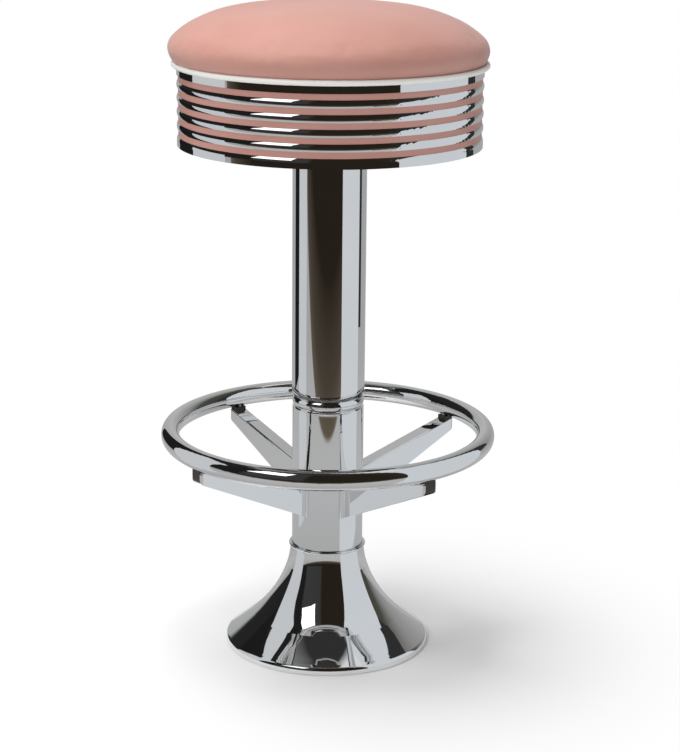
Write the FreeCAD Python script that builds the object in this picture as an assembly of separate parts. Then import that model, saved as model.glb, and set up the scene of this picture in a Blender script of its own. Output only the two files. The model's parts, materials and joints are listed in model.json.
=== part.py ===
import FreeCAD
import Part
import math
import os

from FreeCAD import Vector

# Diner counter stool: a revolving round seat on a fixed two-piece column with a
# bell base and a foot ring on four arms. Millimetres, +Z up. The origin is the
# middle of the base on the floor, and the column axis is the Z axis.

# Floor plate, bolted to the floor inside the bell
plate_r = 112.0
plate_t = 8.0
anchor_circle_r = 88.0
anchor_hole_r = 5.5
anchor_count = 4
anchor_first_angle = 45.0
hub_h = 20.0

# Column tubes and the moulded collar between them
lower_tube_r = 43.7
lower_tube_wall = 3.0
lower_tube_h = 296.0
upper_tube_r = 44.45
upper_tube_wall = 2.5
upper_tube_h = 292.6
collar_h = 20.4
collar_bore_r = 30.0
collar_neck_inset = 2.1
collar_bead_h = 11.4
collar_bead_proud = 0.2
collar_bead_share = 0.25
collar_step_w = 1.2
collar_step_h = 0.8
collar_cove_h = 1.4
spigot_h = 20.0
spigot_gap = 0.15

# Bell cover over the floor plate, its flare a run of arcs from the neck down
bell_r = 126.6
bell_wall = 1.4
bell_foot_h = 3.9
bell_lip_r = 6.3
bell_neck_gap = 0.35
bell_bead_r = 1.7
bell_upper_arc_r = 94.5
bell_upper_angle = 17.6
bell_middle_arc_r = 145.7
bell_middle_angle = 47.7
bell_lower_arc_r = 296.2
bell_lower_angle = 55.2

# Tie rod that clamps the column stack
rod_r = 8.0
rod_foot_z = 3.0
rod_spare = 3.0
rod_hole_gap = 0.5
thread_gap = 0.05
rod_nut_flats = 24.0
rod_nut_h = 13.0
rod_washer_r = 15.0
rod_washer_t = 3.0

# Bearing housing in the top of the column
housing_flange_r = 50.0
housing_flange_t = 5.0
housing_spigot_h = 20.0
housing_body_r = 33.0
housing_floor_t = 10.0
nut_pocket_r = 20.0
nut_pocket_h = 30.0

# Ball bearings on a 25 mm spindle
shaft_r = 12.5
bearing_fit = 0.02
ball_gap = 0.05
cage_gap = 0.25
upper_bearing_r = 26.0
upper_bearing_w = 15.0
upper_ball_r = 3.97
upper_ball_count = 9
lower_bearing_r = 23.5
lower_bearing_w = 12.0
lower_ball_r = 3.175
lower_ball_count = 10
race_spacer_h = 20.5
race_spacer_r = 16.0
race_land = 0.58
cage_wall = 2.4
cage_skirt = 0.8
cage_rim = 1.3

# Retaining rings
clip_groove_gap = 0.1
housing_clip_t = 2.0
housing_clip_depth = 1.4
housing_clip_width = 5.0
shaft_clip_t = 1.8
shaft_clip_depth = 1.0
shaft_clip_width = 4.0
clip_opening = 8.0
shaft_tail_h = 4.0

# Spindle flange and the plate that carries the seat
spindle_shoulder_r = 16.0
spindle_gap = 3.0
spindle_flange_r = 60.0
spindle_flange_t = 7.0
seat_plate_r = 100.0
seat_plate_t = 5.0
flange_screw_r = 4.0
flange_screw_head_r = 8.0
flange_screw_circle_r = 45.0
flange_screw_count = 4
flange_screw_recess = 0.5
seat_bolt_r = 4.0
seat_bolt_circle_r = 80.0
seat_bolt_count = 6
seat_bolt_first_angle = 30.0
seat_bolt_flats = 13.0
seat_bolt_head_h = 4.0
seat_bolt_flange_r = 8.5
seat_bolt_flange_t = 1.5
tee_nut_flange_r = 11.0
tee_nut_flange_t = 1.5
tee_nut_barrel_r = 5.5
tee_nut_barrel_h = 11.0
tee_nut_room = 0.5

# Drum: two plywood discs held apart by blocks, with a ribbed metal band round them
board_t = 18.0
board_gap = 0.3
drum_band_drop = 11.0
drum_h = 92.4
block_count = 6
block_inset = 12.7
block_length = 38.0
block_width = 60.0
band_inner_r = 176.0
band_wall = 1.6
rib_depth = 3.4
rib_bulge = 1.4
rib_wall = 1.2
groove_count = 5
groove_h = 7.2
groove_pitch = 16.2
top_rib_h = 8.9
foot_rib_flat_h = 6.5
inlay_t = 1.7
inlay_gap = 0.1
band_seam = 0.5
band_screw_r = 1.4
band_screw_head_r = 2.4
band_screw_length = 16.0
band_screw_count = 8
band_screw_sunk = 0.1

# Cushion: plywood, foam, vinyl cover, staples and piping
cushion_overhang = 8.35
cushion_foot_rise = 4.0
crown_angle = 4.39
shoulder_arc_r = 167.5
shoulder_angle = 36.4
edge_arc_r = 19.9
edge_angle = 132.5
cover_t = 1.2
cover_hem_w = 22.5
soft_gap = 0.3
pad_board_t = 12.0
pad_board_inset = 8.5
cushion_screw_r = 2.5
cushion_screw_head_r = 5.0
cushion_screw_head_h = 2.6
cushion_screw_circle_r = 110.0
cushion_screw_count = 6
cushion_screw_first_angle = 30.0
cushion_screw_bite = 9.0
piping_r = 3.3
piping_overhang = 3.2
piping_tail_t = 1.4
piping_clear = 0.45
piping_tail_w = 14.2
staple_count = 24
staple_inset = 8.0
staple_crown = 10.0
staple_leg = 6.0
staple_wire = 0.8

# Foot ring: an oval tube
ring_r = 193.5
ring_z = 269.6
ring_half_w = 11.0
ring_half_h = 12.4
ring_wall = 2.0

# Four channel arms that carry the ring
arm_count = 4
arm_first_angle = 45.0
arm_w = 20.0
arm_tip_x = 196.0
arm_root_top_z = 216.0
arm_root_foot_z = 171.0
arm_top_slope = 0.265
arm_foot_slope = 0.462
arm_side_wall = 2.5
arm_web_t = 3.0
arm_root_t = 12.0
arm_flare_r = 4.5
arm_edge_r = 2.6
arm_nose_r = 3.5
arm_heel_r = 9.5
arm_seat_depth = 1.0
arm_seat_length = 40.0

# Screws from inside the column into each arm
arm_screw_r = 4.0
arm_screw_gap = 0.3
arm_screw_head_r = 6.5
arm_screw_head_h = 5.0
arm_screw_length = 13.0
arm_screw_low_z = 184.5
arm_screw_pitch = 19.0

# Moulded caps that close the arms and bed the ring
cap_face_t = 3.0
cap_gap = 0.1
cap_bed_length = 11.0
cap_bed_w = 15.0
cap_bed_rise = 0.7
cap_foot_inset = 0.8
ring_bed_gap = 0.15

# Screws through the arms and caps into the ring
ring_screw_r = 2.5
ring_screw_gap = 0.2
ring_screw_inset = 5.0
ring_screw_head_r = 4.2
ring_screw_head_h = 3.0
ring_screw_spot = 2.4
ring_screw_length = 17.0

# Driving sockets, as a share of the screw's radius
socket_share = 1.2

# How far cutters and joined forms run past the faces that they meet
lap = 1.0
blank_inset = 12.0
blank_spare = 20.0
open_reach = 60.0
slot_reach = 10.0
cap_bed_root = 10.0
cap_neck_root = 4.0
same_place = 0.01

# Heights and radii that follow from the sizes above
lower_tube_z = plate_t
collar_z = lower_tube_z + lower_tube_h
upper_tube_z = collar_z + collar_h
column_top_z = upper_tube_z + upper_tube_h
housing_top_z = column_top_z + housing_flange_t
upper_bearing_top_z = column_top_z
upper_bearing_z = upper_bearing_top_z - upper_bearing_w
lower_bearing_top_z = upper_bearing_z - race_spacer_h
lower_bearing_z = lower_bearing_top_z - lower_bearing_w
housing_floor_top_z = lower_bearing_z - nut_pocket_h
housing_floor_z = housing_floor_top_z - housing_floor_t
rod_top_z = housing_floor_top_z + rod_washer_t + rod_nut_h + rod_spare
spindle_flange_z = housing_top_z + spindle_gap
seat_plate_z = spindle_flange_z + spindle_flange_t
base_board_z = seat_plate_z + seat_plate_t
band_z = base_board_z - drum_band_drop
drum_top_z = band_z + drum_h
drum_board_z = drum_top_z - board_t
base_board_top_z = base_board_z + board_t
tail_top_z = drum_top_z + piping_tail_t
cover_foot_z = tail_top_z + soft_gap
pad_board_z = cover_foot_z + cover_t + soft_gap
groove_r = band_inner_r + band_wall
rib_edge_r = groove_r + rib_depth - rib_bulge
board_r = band_inner_r - board_gap
lower_bore_r = lower_tube_r - lower_tube_wall
collar_neck_r = lower_tube_r - collar_neck_inset
collar_bead_r = lower_tube_r + collar_bead_proud
upper_bore_r = upper_tube_r - upper_tube_wall
piping_z = drum_top_z + piping_r
band_outer_r = groove_r + rib_depth
piping_circle_r = band_outer_r + piping_overhang
piping_tail_r = piping_circle_r - piping_tail_w
tuck_r = piping_r + piping_clear
cover_foot_r = piping_circle_r - tuck_r
cover_hem_r = cover_foot_r - cover_hem_w
cushion_r = band_outer_r + cushion_overhang
pad_board_r = cover_foot_r - pad_board_inset
staple_circle_r = pad_board_r - staple_inset
block_outer_r = board_r - block_inset


def save(name, shape):
    """Write one node, as a solid or as a group of separate solids."""
    solids = shape.Solids
    result = solids[0] if len(solids) == 1 else Part.makeCompound(solids)
    if not result.isValid():
        raise ValueError(name + " isn't a valid shape")
    result.exportStep("parts/" + name + ".step")


def cylinder(r, z0, z1, x=0.0, y=0.0):
    return Part.makeCylinder(r, z1 - z0, Vector(x, y, z0))


def tube(r_in, r_out, z0, z1):
    return cylinder(r_out, z0, z1).cut(cylinder(r_in, z0, z1))


def box(x0, x1, y0, y1, z0, z1):
    return Part.makeBox(x1 - x0, y1 - y0, z1 - z0, Vector(x0, y0, z0))


def turned(shape, angle):
    """A copy of the shape, turned about the column axis."""
    copy = shape.copy()
    copy.rotate(Vector(0, 0, 0), Vector(0, 0, 1), angle)
    return copy


def around(shape, count, first=0.0):
    """Copies of the shape, evenly spaced round the column axis."""
    return Part.makeCompound([turned(shape, first + 360.0 * n / count) for n in range(count)])


def at(r, z):
    return Vector(r, 0, z)


def bend(start, heading, r, new_heading):
    """An arc that leaves start at one heading and ends at another, in degrees down from +X."""
    sense = 1.0 if new_heading > heading else -1.0

    def on_arc(angle):
        a = math.radians(angle)
        b = math.radians(heading)
        shift = sense * r
        return start + at(shift * (math.sin(a) - math.sin(b)), shift * (math.cos(a) - math.cos(b)))

    end = on_arc(new_heading)
    return Part.Arc(start, on_arc((heading + new_heading) / 2), end).toShape(), end


def bends(start, heading, steps):
    """A run of arcs, each leaving the last one smoothly."""
    edges = []
    for r, new_heading in steps:
        edge, start = bend(start, heading, r, new_heading)
        edges.append(edge)
        heading = new_heading
    return edges, start


def closed_face(edges):
    return Part.Face(Part.Wire(Part.__sortEdges__(edges)))


def polygon_face(points):
    return Part.Face(Part.makePolygon(points + [points[0]]))


def spun(face):
    return face.revolve(Vector(0, 0, 0), Vector(0, 0, 1), 360)


def round_torus(circle_r, z, r):
    return Part.makeTorus(circle_r, r, Vector(0, 0, z))


def oval_torus(half_w, half_h):
    """The foot ring's form: an upright oval carried round the axis."""
    middle = at(ring_r, ring_z)
    curve = Part.Ellipse(middle + at(0, half_h), middle + at(half_w, 0), middle)
    return spun(Part.Face(Part.Wire(curve.toShape())))


def hex_prism(flats, z0, z1, x=0.0, y=0.0):
    corner_r = flats / math.sqrt(3)
    points = []
    for n in range(6):
        a = math.radians(60 * n)
        points.append(Vector(x + corner_r * math.cos(a), y + corner_r * math.sin(a), z0))
    return polygon_face(points).extrude(Vector(0, 0, z1 - z0))


def radial_cylinder(r, x0, x1, z):
    return Part.makeCylinder(r, x1 - x0, Vector(x0, 0, z), Vector(1, 0, 0))


# Pedestal

def floor_plate():
    plate = cylinder(plate_r, 0, plate_t)
    hub = cylinder(lower_bore_r - spigot_gap, plate_t, plate_t + hub_h)
    body = plate.fuse(hub).removeSplitter()
    body = body.cut(cylinder(rod_r + thread_gap, 0, plate_t + hub_h))
    hole = cylinder(anchor_hole_r, 0, plate_t, anchor_circle_r)
    return body.cut(around(hole, anchor_count, anchor_first_angle))


def bell_cover():
    """A spun shell: neck with a rolled bead, flare, rounded lip and an upright foot."""
    neck_r = lower_tube_r + bell_neck_gap + bell_wall
    steps = [
        (bell_upper_arc_r, 90 - bell_upper_angle),
        (bell_middle_arc_r, 90 - bell_middle_angle),
        (bell_lower_arc_r, 90 - bell_lower_angle),
    ]
    flare_end = bends(at(neck_r, 0), 90, steps)[1]
    lip = math.radians(bell_lower_angle)
    lip_start = at(bell_r - bell_lip_r * (1 - math.cos(lip)), bell_foot_h + bell_lip_r * math.sin(lip))
    cone_h = (lip_start.x - flare_end.x) / math.tan(lip)
    neck_z = lip_start.z + cone_h - flare_end.z
    edges, cone_top = bends(at(neck_r, neck_z), 90, steps)
    edges.append(Part.LineSegment(cone_top, lip_start).toShape())
    edges.append(bend(lip_start, 90 - bell_lower_angle, bell_lip_r, 90)[0])
    edges.append(Part.LineSegment(at(bell_r, bell_foot_h), at(bell_r, 0)).toShape())
    wall = Part.Wire(edges).makeOffset2D(-bell_wall, join=0, fill=True, openResult=True, intersection=False)
    bead = round_torus(neck_r - bell_wall + bell_bead_r, neck_z - bell_wall, bell_bead_r)
    shell = spun(wall.Faces[0]).fuse(bead)
    return shell.cut(cylinder(lower_tube_r + bell_neck_gap, 0, 2 * neck_z))


def arm_holes(r):
    """The screw holes through the column wall and the arm roots."""
    reach = arm_root_t + lower_tube_wall + 2 * lap
    start = lower_bore_r - lap
    low = radial_cylinder(r, start, start + reach, arm_screw_low_z)
    high = radial_cylinder(r, start, start + reach, arm_screw_low_z + arm_screw_pitch)
    return around(Part.makeCompound([low, high]), arm_count, arm_first_angle)


def lower_column():
    body = tube(lower_bore_r, lower_tube_r, lower_tube_z, collar_z)
    return body.cut(arm_holes(arm_screw_r + arm_screw_gap))


def joint_collar():
    """A turned moulding with a spigot into each tube."""
    bead_foot_z = collar_z + (collar_h - collar_bead_h) * collar_bead_share
    bead_top_z = bead_foot_z + collar_bead_h
    low_r = lower_bore_r - spigot_gap
    high_r = upper_bore_r - spigot_gap
    cove_z = collar_z + collar_h - collar_cove_h
    step_r = collar_neck_r + collar_step_w
    corners = [
        at(collar_neck_r, bead_top_z),
        at(step_r, bead_top_z + collar_step_h),
        at(step_r, cove_z),
        at(collar_neck_r, cove_z),
        at(collar_neck_r, collar_z + collar_h),
        at(high_r, collar_z + collar_h),
        at(high_r, collar_z + collar_h + spigot_h),
        at(collar_bore_r, collar_z + collar_h + spigot_h),
        at(collar_bore_r, collar_z - spigot_h),
        at(low_r, collar_z - spigot_h),
        at(low_r, collar_z),
        at(collar_neck_r, collar_z),
        at(collar_neck_r, bead_foot_z),
    ]
    edges = [Part.LineSegment(a, b).toShape() for a, b in zip(corners, corners[1:])]
    bead_middle = at(collar_bead_r, (bead_foot_z + bead_top_z) / 2)
    edges.append(Part.Arc(corners[-1], bead_middle, corners[0]).toShape())
    return spun(closed_face(edges))


def upper_column():
    return tube(upper_bore_r, upper_tube_r, upper_tube_z, column_top_z)


def tie_rod():
    return cylinder(rod_r, rod_foot_z, rod_top_z)


def rod_washer():
    return tube(rod_r + rod_hole_gap, rod_washer_r, housing_floor_top_z, housing_floor_top_z + rod_washer_t)


def rod_nut():
    z0 = housing_floor_top_z + rod_washer_t
    return hex_prism(rod_nut_flats, z0, z0 + rod_nut_h).cut(cylinder(rod_r + thread_gap, z0, z0 + rod_nut_h))


def bearing_housing():
    body = cylinder(housing_flange_r, column_top_z, housing_top_z)
    body = body.fuse(cylinder(upper_bore_r - spigot_gap, column_top_z - housing_spigot_h, column_top_z))
    body = body.fuse(cylinder(housing_body_r, housing_floor_z, column_top_z))
    body = body.removeSplitter()
    clip_r = upper_bearing_r + housing_clip_depth
    clip_top_z = upper_bearing_top_z + housing_clip_t + clip_groove_gap
    cuts = [
        cylinder(rod_r + rod_hole_gap, housing_floor_z, housing_floor_top_z),
        cylinder(nut_pocket_r, housing_floor_top_z, lower_bearing_z),
        cylinder(lower_bearing_r + bearing_fit, lower_bearing_z, upper_bearing_z),
        cylinder(upper_bearing_r + bearing_fit, upper_bearing_z, housing_top_z),
        cylinder(clip_r + clip_groove_gap, upper_bearing_top_z, clip_top_z),
    ]
    for piece in cuts:
        body = body.cut(piece)
    return body


def ball_circle_r(bearing_r):
    return (shaft_r + bearing_r) / 2


def outer_race(bearing_r, width, ball_r, z):
    circle_r = ball_circle_r(bearing_r)
    ring = tube(circle_r + race_land * ball_r, bearing_r, z, z + width)
    return ring.cut(round_torus(circle_r, z + width / 2, ball_r + ball_gap))


def inner_race(bearing_r, width, ball_r, z):
    circle_r = ball_circle_r(bearing_r)
    ring = tube(shaft_r + bearing_fit, circle_r - race_land * ball_r, z, z + width)
    return ring.cut(round_torus(circle_r, z + width / 2, ball_r + ball_gap))


def balls(bearing_r, width, ball_r, count, z):
    ball = Part.makeSphere(ball_r, Vector(ball_circle_r(bearing_r), 0, z + width / 2))
    return around(ball, count)


def cage(bearing_r, width, ball_r, count, z):
    """A crown cage: a ring with a pocket for each ball, open at the foot."""
    circle_r = ball_circle_r(bearing_r)
    middle = z + width / 2
    pocket_r = ball_r + cage_gap
    half = cage_wall / 2
    ring = tube(circle_r - half, circle_r + half, middle - cage_skirt, middle + pocket_r + cage_rim)
    pocket = Part.makeSphere(pocket_r, Vector(circle_r, 0, middle))
    return ring.cut(around(pocket, count))


def housing_clip():
    z0 = upper_bearing_top_z
    outer = upper_bearing_r + housing_clip_depth
    ring = tube(outer - housing_clip_width, outer, z0, z0 + housing_clip_t)
    return ring.cut(box(0, 2 * outer, -clip_opening / 2, clip_opening / 2, z0, z0 + housing_clip_t))


def arm_plan():
    """The arm seen from above: flared root, straight sides and a rounded nose."""
    half = arm_w / 2
    flare_x = lower_tube_r + arm_flare_r
    wide = half + arm_flare_r
    back_x = lower_tube_r - blank_inset
    turn = math.sqrt(0.5)

    def side(sign):
        flare_centre = Vector(flare_x, sign * wide, 0)
        flare_middle = flare_centre + Vector(-turn, -sign * turn, 0) * arm_flare_r
        nose_centre = Vector(arm_tip_x - arm_nose_r, sign * (half - arm_nose_r), 0)
        nose_middle = nose_centre + Vector(turn, sign * turn, 0) * arm_nose_r
        return [
            Part.LineSegment(Vector(back_x, sign * wide, 0), Vector(lower_tube_r, sign * wide, 0)),
            Part.Arc(Vector(lower_tube_r, sign * wide, 0), flare_middle, Vector(flare_x, sign * half, 0)),
            Part.LineSegment(Vector(flare_x, sign * half, 0), Vector(arm_tip_x - arm_nose_r, sign * half, 0)),
            Part.Arc(
                Vector(arm_tip_x - arm_nose_r, sign * half, 0),
                nose_middle,
                Vector(arm_tip_x, sign * (half - arm_nose_r), 0),
            ),
        ]

    nose = half - arm_nose_r
    ends = [
        Part.LineSegment(Vector(back_x, -wide, 0), Vector(back_x, wide, 0)),
        Part.LineSegment(Vector(arm_tip_x, -nose, 0), Vector(arm_tip_x, nose, 0)),
    ]
    return closed_face([curve.toShape() for curve in side(1) + side(-1) + ends])


def arm_top(x):
    return arm_root_top_z + arm_top_slope * (x - lower_tube_r)


def arm_foot(x):
    return arm_root_foot_z + arm_foot_slope * (x - lower_tube_r)


def arm_side(x0, x1, drop, lift, half_w):
    """A prism between the arm's top line lowered by drop and its foot line raised by lift."""
    points = [
        Vector(x0, -half_w, arm_top(x0) - drop),
        Vector(x1, -half_w, arm_top(x1) - drop),
        Vector(x1, -half_w, arm_foot(x1) + lift),
        Vector(x0, -half_w, arm_foot(x0) + lift),
    ]
    return polygon_face(points).extrude(Vector(0, 2 * half_w, 0))


def heel_edges(shape, x, z):
    """The edges across the arm at the given place in its side view."""
    found = []
    for edge in shape.Edges:
        spots = [v.Point for v in edge.Vertexes]
        if all(abs(p.x - x) < same_place and abs(p.z - z) < same_place for p in spots):
            found.append(edge)
    return found


def arm_blank():
    plan = arm_plan()
    plan.translate(Vector(0, 0, arm_root_foot_z - blank_spare))
    upright = plan.extrude(Vector(0, 0, arm_top(arm_tip_x) - arm_root_foot_z + 2 * blank_spare))
    side = arm_side(lower_tube_r - blank_spare, arm_tip_x, 0, 0, arm_w)
    side = side.makeFillet(arm_heel_r, heel_edges(side, arm_tip_x, arm_foot(arm_tip_x)))
    blank = upright.common(side)
    rims = []
    for face in blank.Faces:
        normal = face.normalAt(0, 0)
        if isinstance(face.Surface, Part.Plane) and normal.z > 0.5:
            for edge in face.Edges:
                if edge.BoundBox.XMax > lower_tube_r + same_place:
                    rims.append(edge)
    return blank.makeFillet(arm_edge_r, rims)


def arm():
    """One arm along +X: a channel open below, with a block at its root and a seat for the ring."""
    blank = arm_blank()
    inner_half = arm_w / 2 - arm_side_wall
    past_tip_x = arm_tip_x + lap
    channel = arm_side(lower_tube_r + arm_root_t, past_tip_x, arm_web_t, -open_reach, inner_half)
    body = blank.cut(channel)
    seat_x = arm_tip_x - arm_seat_length
    below_seat = arm_side(seat_x, past_tip_x, arm_seat_depth, -open_reach, arm_w)
    above = box(seat_x, past_tip_x, -arm_w, arm_w, arm_foot(seat_x), ring_z)
    body = body.cut(above.cut(below_seat))
    face_x = arm_tip_x - cap_face_t
    body = body.cut(box(face_x, past_tip_x, -inner_half, inner_half, arm_foot(seat_x), ring_z))
    body = body.cut(cylinder(lower_tube_r, 0, 2 * ring_z))
    for z in (arm_screw_low_z, arm_screw_low_z + arm_screw_pitch):
        body = body.cut(radial_cylinder(arm_screw_r + thread_gap, 0, lower_tube_r + arm_root_t, z))
    screw_x = ring_r - ring_screw_inset
    spot_top = arm_top(screw_x) - arm_seat_depth - ring_screw_spot
    body = body.cut(cylinder(ring_screw_r + ring_screw_gap, 0, ring_z, screw_x))
    spot_r = ring_screw_head_r + ring_screw_gap
    return body.cut(cylinder(spot_r, arm_foot(seat_x), spot_top, screw_x))


def end_cap():
    """A moulded cap along +X: a face in the channel's end, and a bed for the ring on top."""
    inner_half = arm_w / 2 - arm_side_wall - cap_gap
    face_x = arm_tip_x - cap_face_t + cap_gap
    bed_z = ring_z - ring_half_h + cap_bed_rise
    outline = arm_side(arm_tip_x - arm_seat_length, arm_tip_x, 0, cap_foot_inset, arm_w)
    heel = heel_edges(outline, arm_tip_x, arm_foot(arm_tip_x) + cap_foot_inset)
    outline = outline.makeFillet(arm_heel_r, heel)
    face = outline.common(box(face_x, arm_tip_x, -inner_half, inner_half, arm_foot(face_x), ring_z))
    bed_x = arm_tip_x - cap_bed_length
    half_bed = cap_bed_w / 2
    block = box(bed_x, arm_tip_x, -half_bed, half_bed, arm_top(bed_x) - cap_bed_root, bed_z)
    under = arm_side(bed_x - lap, arm_tip_x + lap, arm_seat_depth, -open_reach, arm_w)
    bed = block.cut(under)
    neck_z = arm_top(face_x) - cap_neck_root
    neck = box(face_x, arm_tip_x, -inner_half, inner_half, neck_z, bed_z - cap_bed_rise)
    cap = face.fuse(neck).fuse(bed).removeSplitter()
    cap = cap.cut(oval_torus(ring_half_w + ring_bed_gap, ring_half_h + ring_bed_gap))
    screw_x = ring_r - ring_screw_inset
    return cap.cut(cylinder(ring_screw_r + ring_screw_gap, 0, ring_z, screw_x))


def ring_screw():
    x = ring_r - ring_screw_inset
    head_top = arm_top(x) - arm_seat_depth - ring_screw_spot
    head_z = head_top - ring_screw_head_h
    shank = cylinder(ring_screw_r, head_top - lap, head_top + ring_screw_length, x)
    head = cylinder(ring_screw_head_r, head_z, head_top, x)
    socket = hex_prism(ring_screw_r * socket_share, head_z, head_z + ring_screw_head_h / 2, x)
    return shank.fuse(head).removeSplitter().cut(socket)


def foot_ring():
    skin = oval_torus(ring_half_w, ring_half_h)
    hollow = oval_torus(ring_half_w - ring_wall, ring_half_h - ring_wall)
    ring = skin.cut(hollow)
    hole = cylinder(ring_screw_r + thread_gap, ring_z - 2 * ring_half_h, ring_z, ring_r - ring_screw_inset)
    return ring.cut(around(hole, arm_count, arm_first_angle))


def arm_screw(z):
    """A cap screw whose head bears on the inside of the column."""
    seat_x = math.sqrt(lower_bore_r ** 2 - arm_screw_head_r ** 2)
    head_x = seat_x - arm_screw_head_h
    head = radial_cylinder(arm_screw_head_r, head_x, seat_x, z)
    shank = radial_cylinder(arm_screw_r, seat_x - lap, seat_x + arm_screw_length, z)
    socket = radial_cylinder(arm_screw_r * socket_share / 2, head_x, head_x + arm_screw_head_h / 2, z)
    return head.fuse(shank).removeSplitter().cut(socket)


# Seat

def spindle():
    tail_z = lower_bearing_z - shaft_clip_t - clip_groove_gap - shaft_tail_h
    shaft = cylinder(shaft_r, tail_z, upper_bearing_top_z)
    shoulder = cylinder(spindle_shoulder_r, upper_bearing_top_z, spindle_flange_z)
    flange = cylinder(spindle_flange_r, spindle_flange_z, seat_plate_z)
    body = shaft.fuse(shoulder).fuse(flange).removeSplitter()
    groove_z = lower_bearing_z - shaft_clip_t - clip_groove_gap
    groove = tube(shaft_r - shaft_clip_depth - clip_groove_gap, shaft_r + lap, groove_z, lower_bearing_z)
    body = body.cut(groove)
    screw = cylinder(flange_screw_r + thread_gap, spindle_flange_z, seat_plate_z, flange_screw_circle_r)
    return body.cut(around(screw, flange_screw_count))


def shaft_clip():
    z0 = lower_bearing_z - shaft_clip_t
    inner = shaft_r - shaft_clip_depth
    ring = tube(inner, inner + shaft_clip_width, z0, lower_bearing_z)
    return ring.cut(box(0, 2 * shaft_r, -clip_opening / 2, clip_opening / 2, z0, lower_bearing_z))


def race_spacer():
    return tube(shaft_r + bearing_fit, race_spacer_r, lower_bearing_top_z, upper_bearing_z)


def flange_screw():
    """A countersunk screw, flush with the top of the seat plate."""
    x = flange_screw_circle_r
    cone_h = flange_screw_head_r - flange_screw_r
    top_z = base_board_z
    cone = Part.makeCone(flange_screw_r, flange_screw_head_r, cone_h, Vector(x, 0, top_z - cone_h))
    shank = cylinder(flange_screw_r, spindle_flange_z + flange_screw_recess, top_z - cone_h, x)
    socket = hex_prism(flange_screw_r * socket_share, top_z - cone_h / 2, top_z, x)
    return cone.fuse(shank).removeSplitter().cut(socket)


def seat_plate():
    plate = cylinder(seat_plate_r, seat_plate_z, base_board_z)
    x = flange_screw_circle_r
    head_r = flange_screw_head_r + thread_gap
    shank_r = flange_screw_r + thread_gap
    sink_h = head_r - shank_r
    sink = Part.makeCone(shank_r, head_r, sink_h, Vector(x, 0, base_board_z - sink_h))
    hole = sink.fuse(cylinder(shank_r, seat_plate_z, base_board_z, x))
    plate = plate.cut(around(hole, flange_screw_count))
    bolt = cylinder(seat_bolt_r + rod_hole_gap, seat_plate_z, base_board_z, seat_bolt_circle_r)
    return plate.cut(around(bolt, seat_bolt_count, seat_bolt_first_angle))


def seat_bolt():
    x = seat_bolt_circle_r
    flange_z = seat_plate_z - seat_bolt_flange_t
    flange = cylinder(seat_bolt_flange_r, flange_z, seat_plate_z, x)
    head = hex_prism(seat_bolt_flats, flange_z - seat_bolt_head_h, flange_z, x)
    shank = cylinder(seat_bolt_r, seat_plate_z, base_board_top_z + tee_nut_flange_t, x)
    return flange.fuse(head).fuse(shank).removeSplitter()


def tee_nut():
    x = seat_bolt_circle_r
    flange = cylinder(tee_nut_flange_r, base_board_top_z, base_board_top_z + tee_nut_flange_t, x)
    barrel = cylinder(tee_nut_barrel_r, base_board_top_z - tee_nut_barrel_h, base_board_top_z, x)
    body = flange.fuse(barrel).removeSplitter()
    return body.cut(cylinder(seat_bolt_r + thread_gap, base_board_z, base_board_top_z + tee_nut_flange_t, x))


def groove_centre(n):
    return drum_top_z - top_rib_h - groove_h / 2 - n * groove_pitch


def band_screw(z):
    """A small countersunk screw through the floor of a groove into the plywood edge."""
    cone_h = band_screw_head_r - band_screw_r
    face_x = groove_r - band_screw_sunk
    neck = Vector(face_x - cone_h, 0, z)
    cone = Part.makeCone(band_screw_r, band_screw_head_r, cone_h, neck, Vector(1, 0, 0))
    shank = radial_cylinder(band_screw_r, face_x - band_screw_length, face_x - cone_h, z)
    return cone.fuse(shank).removeSplitter()


def band_screw_hole(z):
    grown_r = band_screw_r + thread_gap
    head_r = band_screw_head_r + thread_gap
    cone_h = head_r - grown_r
    face_x = groove_r - band_screw_sunk
    neck = Vector(face_x - cone_h, 0, z)
    cone = Part.makeCone(grown_r, head_r, cone_h, neck, Vector(1, 0, 0))
    mouth = radial_cylinder(head_r, face_x, groove_r + thread_gap, z)
    start = face_x - band_screw_length - thread_gap
    return cone.fuse(radial_cylinder(grown_r, start, face_x - cone_h, z)).fuse(mouth)


def band_screw_levels():
    return (groove_centre(0), groove_centre(groove_count - 1))


def band_screw_first():
    return 180.0 / band_screw_count


def base_board():
    board = cylinder(board_r, base_board_z, base_board_top_z)
    x = seat_bolt_circle_r
    barrel_z = base_board_top_z - tee_nut_barrel_h - tee_nut_room
    barrel = cylinder(tee_nut_barrel_r + thread_gap, barrel_z, base_board_top_z, x)
    bolt = cylinder(seat_bolt_r + rod_hole_gap, base_board_z, base_board_top_z, x)
    board = board.cut(around(barrel.fuse(bolt), seat_bolt_count, seat_bolt_first_angle))
    hole = band_screw_hole(groove_centre(groove_count - 1))
    return board.cut(around(hole, band_screw_count, band_screw_first()))


def spacer_block():
    inner = block_outer_r - block_length
    return box(inner, block_outer_r, -block_width / 2, block_width / 2, base_board_top_z, drum_board_z)


def drum_board():
    board = cylinder(board_r, drum_board_z, drum_top_z)
    screw = cylinder(cushion_screw_r + thread_gap, drum_board_z, drum_top_z, cushion_screw_circle_r)
    board = board.cut(around(screw, cushion_screw_count, cushion_screw_first_angle))
    return board.cut(around(band_screw_hole(groove_centre(0)), band_screw_count, band_screw_first()))


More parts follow.
